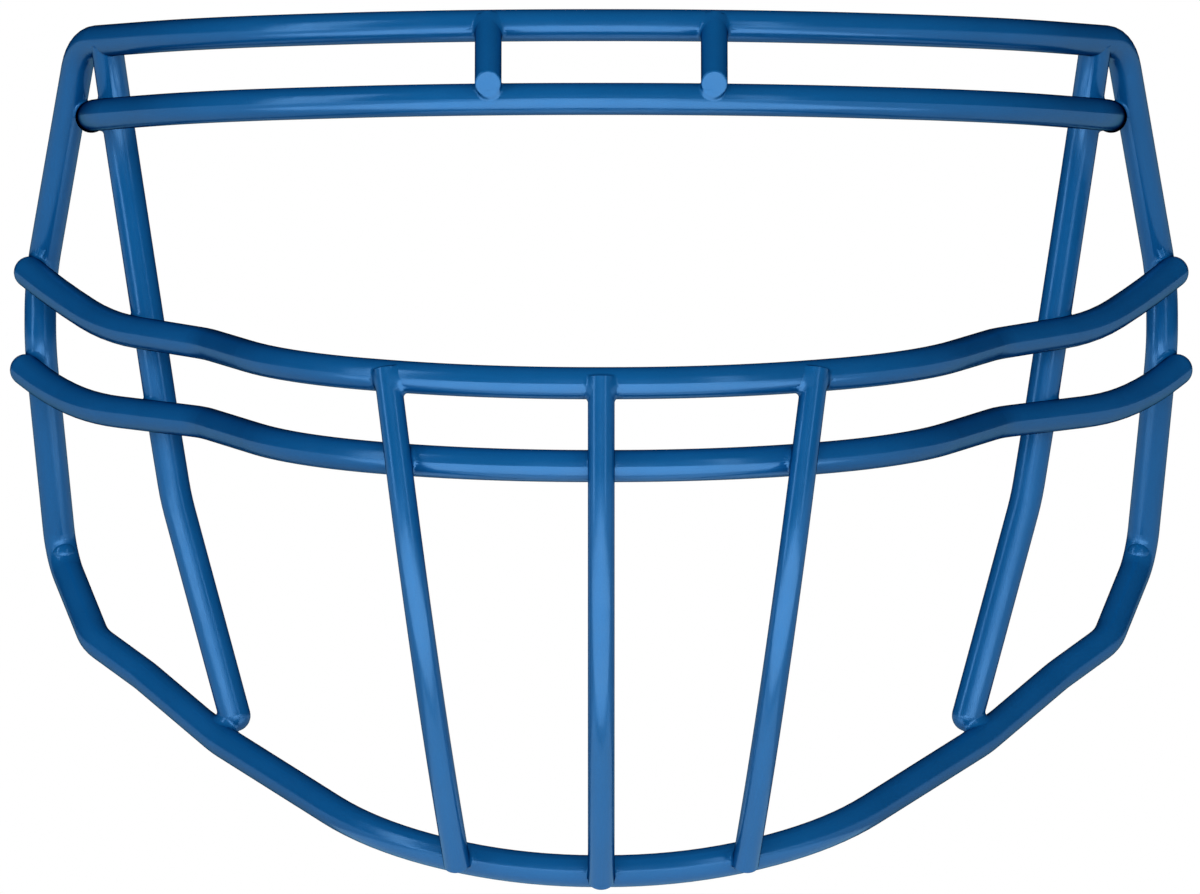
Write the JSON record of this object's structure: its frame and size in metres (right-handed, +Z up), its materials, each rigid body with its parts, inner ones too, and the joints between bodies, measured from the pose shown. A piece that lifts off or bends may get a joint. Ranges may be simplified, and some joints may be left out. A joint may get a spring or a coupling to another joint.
{
  "type": "football helmet facemask",
  "caption": "Welded steel wire football facemask: a coated outer frame with brow, oral and upright bars for the front of a helmet.",
  "frame": {"origin": "middle of the cage's bounding box, on its mirror plane", "axes": "+X to the right of a front view, -Y is the front that faces forward, +Z up as worn"},
  "size_m": [0.2452, 0.1596, 0.1806],
  "materials": {
    "blue_coat": "glossy blue powder coat over steel wire"
  },
  "bodies": {
    "root": {"brow_end_weld_left": "blue_coat", "brow_end_weld_right": "blue_coat", "brow_tie_left": "blue_coat", "brow_tie_right": "blue_coat", "jaw_wire": "blue_coat", "lower_brow_bar": "blue_coat", "lower_brow_bar_side_weld_left": "blue_coat", "lower_brow_bar_side_weld_right": "blue_coat", "lower_oral_bar": "blue_coat", "lower_oral_bar_end_weld_left": "blue_coat", "lower_oral_bar_end_weld_right": "blue_coat", "lower_oral_bar_side_weld_left": "blue_coat", "lower_oral_bar_side_weld_right": "blue_coat", "mouth_jaw_weld_center": "blue_coat", "mouth_jaw_weld_left": "blue_coat", "mouth_jaw_weld_right": "blue_coat", "mouth_oral_weld_center": "blue_coat", "mouth_oral_weld_left": "blue_coat", "mouth_oral_weld_right": "blue_coat", "mouth_top_weld_center": "blue_coat", "mouth_top_weld_left": "blue_coat", "mouth_top_weld_right": "blue_coat", "mouth_upright_center": "blue_coat", "mouth_upright_left": "blue_coat", "mouth_upright_right": "blue_coat", "seam_weld_left": "blue_coat", "seam_weld_right": "blue_coat", "side_upright_foot_weld_left": "blue_coat", "side_upright_foot_weld_right": "blue_coat", "side_upright_left": "blue_coat", "side_upright_right": "blue_coat", "side_upright_top_weld_left": "blue_coat", "side_upright_top_weld_right": "blue_coat", "tie_brow_weld_left": "blue_coat", "tie_brow_weld_right": "blue_coat", "tie_top_weld_left": "blue_coat", "tie_top_weld_right": "blue_coat", "upper_frame_wire": "blue_coat", "upper_oral_bar": "blue_coat", "upper_oral_bar_end_weld_left": "blue_coat", "upper_oral_bar_end_weld_right": "blue_coat", "upper_oral_bar_side_weld_left": "blue_coat", "upper_oral_bar_side_weld_right": "blue_coat"}
  },
  "joints": []
}
